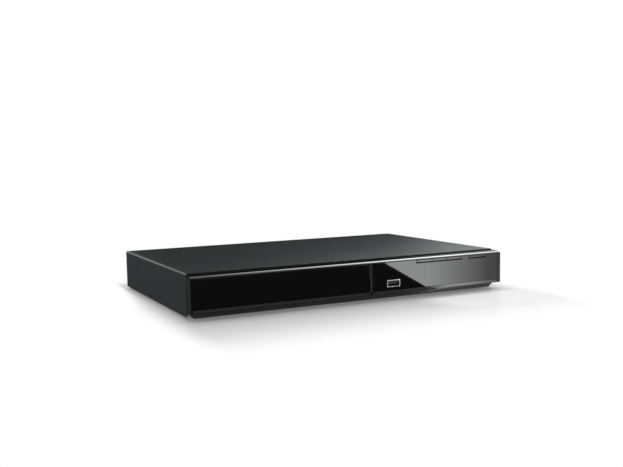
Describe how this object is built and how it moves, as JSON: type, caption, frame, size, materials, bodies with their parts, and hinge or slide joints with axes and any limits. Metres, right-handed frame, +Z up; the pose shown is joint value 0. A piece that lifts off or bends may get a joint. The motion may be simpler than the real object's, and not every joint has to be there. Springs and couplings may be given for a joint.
{
  "type": "dvd player with tray",
  "caption": "Slim front-loading disc player: folded steel case, gloss front with a flush tray door, press keys and a data socket, and a motor-driven disc tray.",
  "frame": {"origin": "centre of the bounding box at the feet's underside", "axes": "+X to the right seen from the front, +Y to the back, +Z up"},
  "size_m": [0.312, 0.209, 0.038],
  "materials": {
    "painted_steel": "satin black paint",
    "plated_steel": "black coated steel",
    "foot_rubber": "matt",
    "gloss_black": "gloss",
    "smoked_window": "gloss",
    "tray_plastic": "fine matt",
    "frame_plastic": "moulded",
    "gear_plastic": "natural",
    "clamper_plastic": "moulded",
    "bright_steel": "plated",
    "motor_steel": "plated can",
    "turntable_plastic": "moulded",
    "pickup_metal": "die cast",
    "actuator_plastic": "moulded",
    "lens_glass": "coated",
    "damper_rubber": "soft",
    "screw_steel": "zinc",
    "board_green": "solder mask",
    "board_brown": "paper laminate",
    "chip_black": "moulded",
    "can_sleeve": "sleeve",
    "ribbon_white": "film",
    "lamp_lens": "clear red",
    "jack_plastic": "moulded",
    "jack_metal": "plated",
    "jack_colour": "moulded",
    "ferrite": "sintered",
    "winding_tape": "tape",
    "sink_aluminium": "raw",
    "fuse_glass": "clear"
  },
  "bodies": {
    "case": {"top_cover": "painted_steel", "bottom_chassis": "plated_steel", "feet": "foot_rubber", "rear_panel": "plated_steel", "front_panel": "gloss_black", "front_window": "smoked_window", "front_board": "board_green", "key_switches": "chip_black", "infrared_receiver": "chip_black", "power_lamp": "lamp_lens", "usb_shell": "bright_steel", "usb_board": "board_green", "socket_tongues": "jack_plastic", "loader_frame": "frame_plastic", "clamp_bridge": "bright_steel", "loading_motor": "motor_steel", "drive_belt": "damper_rubber", "main_board": "board_green", "power_board": "board_brown", "chassis_screws": "screw_steel", "cover_screws": "screw_steel", "board_chips": "chip_black", "capacitors": "can_sleeve", "ribbon_sockets": "chip_black", "front_ribbon": "ribbon_white", "av_block": "jack_plastic", "av_barrels": "jack_metal", "av_cores": "jack_colour", "hdmi_shell": "bright_steel", "power_inlet": "jack_plastic", "inlet_pins": "jack_metal", "transformer_core": "ferrite", "transformer_winding": "winding_tape", "heat_sink": "sink_aluminium", "switching_transistor": "chip_black", "mains_filter": "ferrite", "mains_fuse": "fuse_glass"},
    "tray": {"disc_tray": "tray_plastic", "tray_door": "gloss_black"},
    "motor_pulley": {"motor_pulley": "gear_plastic"},
    "pulley_gear": {"pulley_gear": "gear_plastic"},
    "drive_gear": {"drive_gear": "gear_plastic"},
    "cam_slide": {"cam_slide": "frame_plastic"},
    "traverse": {"lift_frame": "frame_plastic", "traverse_deck": "bright_steel", "dampers": "damper_rubber", "damper_screws": "screw_steel", "spindle_motor": "motor_steel", "guide_rods": "bright_steel", "sled_motor": "motor_steel"},
    "turntable": {"turntable": "turntable_plastic"},
    "sled": {"pickup_sled": "pickup_metal", "lens_actuator": "actuator_plastic", "objective_lens": "lens_glass"},
    "lead_screw": {"lead_screw": "bright_steel"},
    "clamper": {"disc_clamper": "clamper_plastic"},
    "open_key": {"open_key": "gloss_black"},
    "stop_key": {"stop_key": "gloss_black"},
    "play_key": {"play_key": "gloss_black"},
    "power_key": {"power_key": "gloss_black"}
  },
  "joints": [
    {"name": "tray_slide", "type": "slide", "parent": "case", "child": "tray", "axis": [0, -1, 0], "range_m": [0, 0.142]},
    {"name": "drive_gear_spin", "type": "hinge", "parent": "case", "child": "drive_gear", "pos_m": [-0.02882, -0.0738, 0.019], "axis": [0, 0, 1], "range_deg": [-684, 0]},
    {"name": "pulley_gear_spin", "type": "hinge", "parent": "case", "child": "pulley_gear", "pos_m": [-0.04594, -0.0738, 0.019], "axis": [0, 0, 1], "range_deg": [0, 1640]},
    {"name": "motor_pulley_spin", "type": "hinge", "parent": "case", "child": "motor_pulley", "pos_m": [-0.0847, -0.0738, 0.0165], "axis": [0, 0, 1], "range_deg": [0, 5505]},
    {"name": "traverse_lift", "type": "hinge", "parent": "case", "child": "traverse", "pos_m": [-0.0727, 0.072, 0.0137], "axis": [-1, 0, 0], "range_deg": [0, 4.2]},
    {"name": "cam_shift", "type": "slide", "parent": "case", "child": "cam_slide", "axis": [1, 0, 0], "range_m": [0, 0.0141]},
    {"name": "turntable_spin", "type": "hinge", "parent": "traverse", "child": "turntable", "pos_m": [-0.0727, -0.02624, 0.00649], "axis": [0, -0.0732, 0.9973], "continuous": true},
    {"name": "clamper_spin", "type": "hinge", "parent": "case", "child": "clamper", "pos_m": [-0.0727, -0.0265, 0.029], "axis": [0, 0, 1], "continuous": true},
    {"name": "sled_slide", "type": "slide", "parent": "traverse", "child": "sled", "axis": [0, 0.9973, 0.0732], "range_m": [0, 0.035]},
    {"name": "lead_screw_spin", "type": "hinge", "parent": "traverse", "child": "lead_screw", "pos_m": [-0.0357, 0.01209, 0.0102], "axis": [0, 0.9973, 0.0732], "range_deg": [-4240, 0]},
    {"name": "open_key_press", "type": "slide", "parent": "case", "child": "open_key", "axis": [0, 1, 0], "range_m": [0, 0.0005], "stiffness_N_per_m": 1200, "springref_m": -0.0003},
    {"name": "stop_key_press", "type": "slide", "parent": "case", "child": "stop_key", "axis": [0, 1, 0], "range_m": [0, 0.0005], "stiffness_N_per_m": 1200, "springref_m": -0.0003},
    {"name": "play_key_press", "type": "slide", "parent": "case", "child": "play_key", "axis": [0, 1, 0], "range_m": [0, 0.0005], "stiffness_N_per_m": 1200, "springref_m": -0.0003},
    {"name": "power_key_press", "type": "slide", "parent": "case", "child": "power_key", "axis": [0, 1, 0], "range_m": [0, 0.0005], "stiffness_N_per_m": 1200, "springref_m": -0.0003}
  ],
  "couplings": [
    {"joint": "drive_gear_spin", "follows": "tray_slide", "rad_per_m": -83.333},
    {"joint": "pulley_gear_spin", "follows": "tray_slide", "rad_per_m": 200},
    {"joint": "motor_pulley_spin", "follows": "tray_slide", "rad_per_m": 671.23},
    {"joint": "cam_shift", "follows": "traverse_lift", "m_per_rad": 0.19099},
    {"joint": "lead_screw_spin", "follows": "sled_slide", "rad_per_m": -2094.4}
  ]
}
